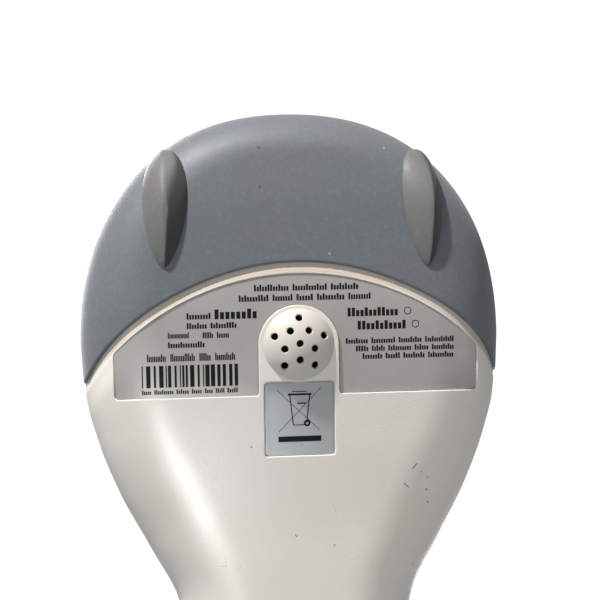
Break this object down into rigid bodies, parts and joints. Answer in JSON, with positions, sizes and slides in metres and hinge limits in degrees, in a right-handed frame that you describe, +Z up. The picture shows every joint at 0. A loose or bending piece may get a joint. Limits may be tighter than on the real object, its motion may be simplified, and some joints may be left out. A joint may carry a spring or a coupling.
{
  "type": "handheld barcode scanner",
  "caption": "Handheld laser barcode scanner: broad rounded head with a soft bumper and red window, perforated sounder dome, two labels beneath, push button on top, slim handle.",
  "frame": {"origin": "centre of the footprint, on the table the scanner rests on", "axes": "+Z up from the table, -Y towards the nose and its window, +Y towards the end of the handle, +X to the right when the underside is looked at with the nose up"},
  "size_m": [0.0776, 0.1969, 0.0407],
  "materials": {
    "beige_plastic": "fine moulded texture",
    "beige_plastic_top": "fine moulded texture",
    "blue_grey_rubber": "matt",
    "button_plastic": "matt",
    "warm_grey_rubber": "matt",
    "red_window": "clear red",
    "black_foam": "foam",
    "clear_plastic": "clear",
    "silver_label": "satin",
    "zinc_steel": "zinc plated",
    "green_board": "solder mask",
    "black_plastic": "moulded",
    "brass": "turned",
    "lens_glass": "polished",
    "mirror_glass": "polished",
    "copper_wire": "enamelled winding",
    "gold_contacts": "plated",
    "amber_film": "film",
    "white_plastic": "matt",
    "led_red": "clear",
    "led_blue": "clear",
    "led_yellow": "clear"
  },
  "bodies": {
    "housing": {"beeper": "black_plastic", "beeper_gasket": "black_foam", "board_screw_front": "zinc_steel", "board_screw_rear": "zinc_steel", "capacitor": "black_plastic", "case_screw_front": "zinc_steel", "case_screw_rear": "zinc_steel", "chassis_screw_left": "zinc_steel", "chassis_screw_right": "zinc_steel", "coil_core": "zinc_steel", "collecting_mirror": "mirror_glass", "collimating_lens": "lens_glass", "crystal_can": "zinc_steel", "decoder_chip": "black_plastic", "detector_board": "green_board", "detector_filter": "red_window", "drive_coil": "copper_wire", "flexure_clamp": "black_plastic", "flexure_strip": "amber_film", "front_bumper": "blue_grey_rubber", "info_label": "silver_label", "ir_board": "green_board", "ir_emitter": "clear_plastic", "ir_receiver": "black_plastic", "jack_board": "green_board", "jack_contacts": "gold_contacts", "laser_barrel": "brass", "laser_diode": "zinc_steel", "laser_flex": "amber_film", "led_blue": "led_blue", "led_red": "led_red", "led_yellow": "led_yellow", "light_pipe": "clear_plastic", "lower_shell": "beige_plastic", "main_board": "green_board", "memory_chip": "black_plastic", "modular_jack": "black_plastic", "optics_chassis": "black_plastic", "photodiode": "black_plastic", "recycling_label": "silver_label", "ribbon_cable": "white_plastic", "ridge_foot_left": "warm_grey_rubber", "ridge_foot_right": "warm_grey_rubber", "scan_window": "red_window", "switch_body": "black_plastic", "upper_shell": "beige_plastic_top", "window_gasket": "black_foam"},
    "button": {"trigger_button": "button_plastic"},
    "switch_plunger": {"switch_plunger": "white_plastic"},
    "scan_mirror": {"scan_mirror": "mirror_glass", "mirror_carrier": "black_plastic", "mirror_magnet": "zinc_steel"}
  },
  "joints": [
    {"name": "button_press", "type": "slide", "parent": "housing", "child": "button", "axis": [0, 0, -1], "range_m": [0, 0.0005], "stiffness_N_per_m": 800},
    {"name": "plunger_press", "type": "slide", "parent": "housing", "child": "switch_plunger", "axis": [0, 0, -1], "range_m": [0, 0.0005]},
    {"name": "mirror_swing", "type": "hinge", "parent": "housing", "child": "scan_mirror", "pos_m": [0.004, -0.0545, 0.02], "axis": [0, 0, 1], "range_deg": [-10, 10], "stiffness_Nm_per_rad": 0.0005, "deforming": ["flexure_strip"]}
  ],
  "couplings": [
    {"joint": "plunger_press", "follows": "button_press", "ratio": 1}
  ]
}
